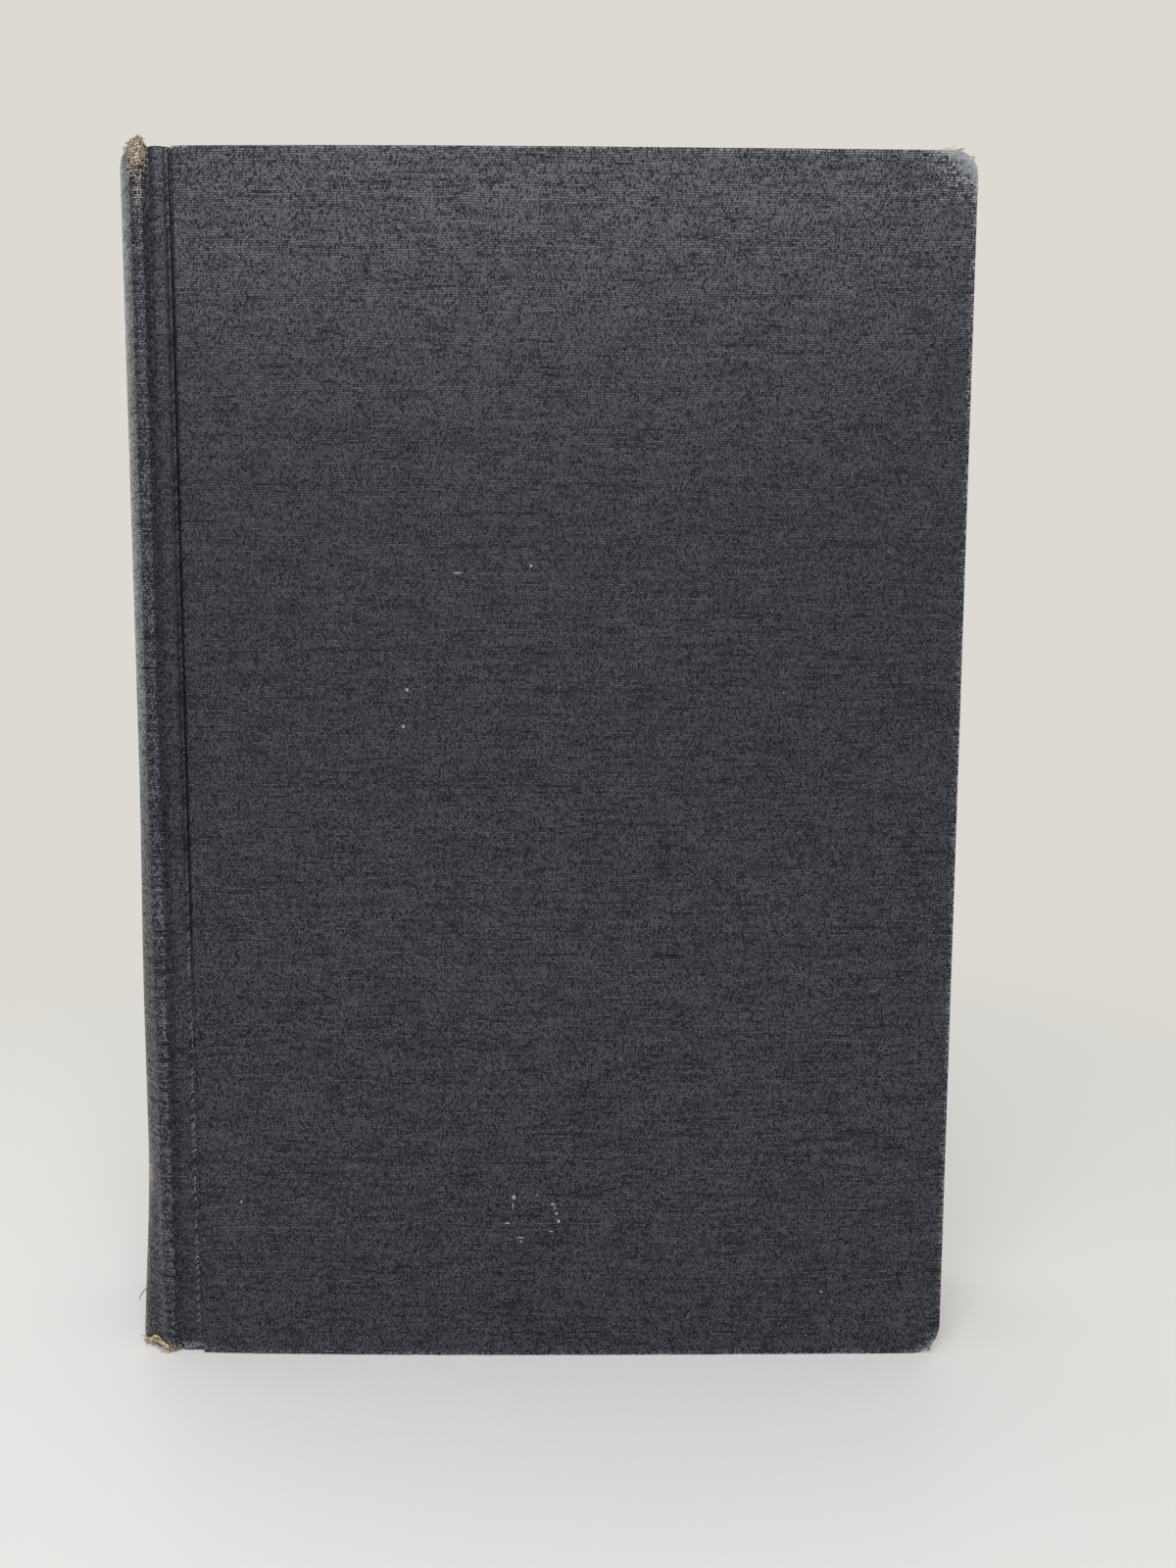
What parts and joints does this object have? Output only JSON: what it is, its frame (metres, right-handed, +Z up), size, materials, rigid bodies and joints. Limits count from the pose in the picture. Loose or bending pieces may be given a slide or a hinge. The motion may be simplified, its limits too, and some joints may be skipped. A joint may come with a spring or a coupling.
{
  "type": "hardback book",
  "caption": "Cloth-bound hardback book, rounded spine and French grooves, worn at the corners and spine ends, with covers that swing open on their cloth joints.",
  "frame": {"origin": "bottom centre of the closed book's box, on the surface that it stands on", "axes": "+Z up from tail to head, +X from spine to fore-edge, -Y out of the front cover"},
  "size_m": [0.1638, 0.034, 0.235],
  "materials": {
    "book_cloth": "dark charcoal woven book cloth, worn",
    "leaf_paper": "cut edges, aged cream",
    "endpaper": "plain, uncoated",
    "grey_board": "raw board",
    "inlay_card": "raw card",
    "gauze": "open weave, sized",
    "lining_paper": "brown kraft",
    "band_thread": "sewn thread"
  },
  "bodies": {
    "block": {"text_block": "leaf_paper", "front_flyleaf": "endpaper", "back_flyleaf": "endpaper", "spine_mull": "gauze", "spine_lining": "lining_paper", "head_band": "band_thread", "tail_band": "band_thread", "spine_inlay": "inlay_card", "spine_cloth": "book_cloth"},
    "front_cover": {"front_board": "grey_board", "front_cloth": "book_cloth", "front_mull_flange": "gauze", "front_pastedown": "endpaper"},
    "back_cover": {"back_board": "grey_board", "back_cloth": "book_cloth", "back_mull_flange": "gauze", "back_pastedown": "endpaper"}
  },
  "joints": [
    {"name": "front_joint", "type": "hinge", "parent": "block", "child": "front_cover", "pos_m": [-0.06988, -0.017, 0], "axis": [0, 0, -1], "range_deg": [0, 178]},
    {"name": "back_joint", "type": "hinge", "parent": "block", "child": "back_cover", "pos_m": [-0.06988, 0.017, 0], "axis": [0, 0, 1], "range_deg": [0, 178]}
  ]
}
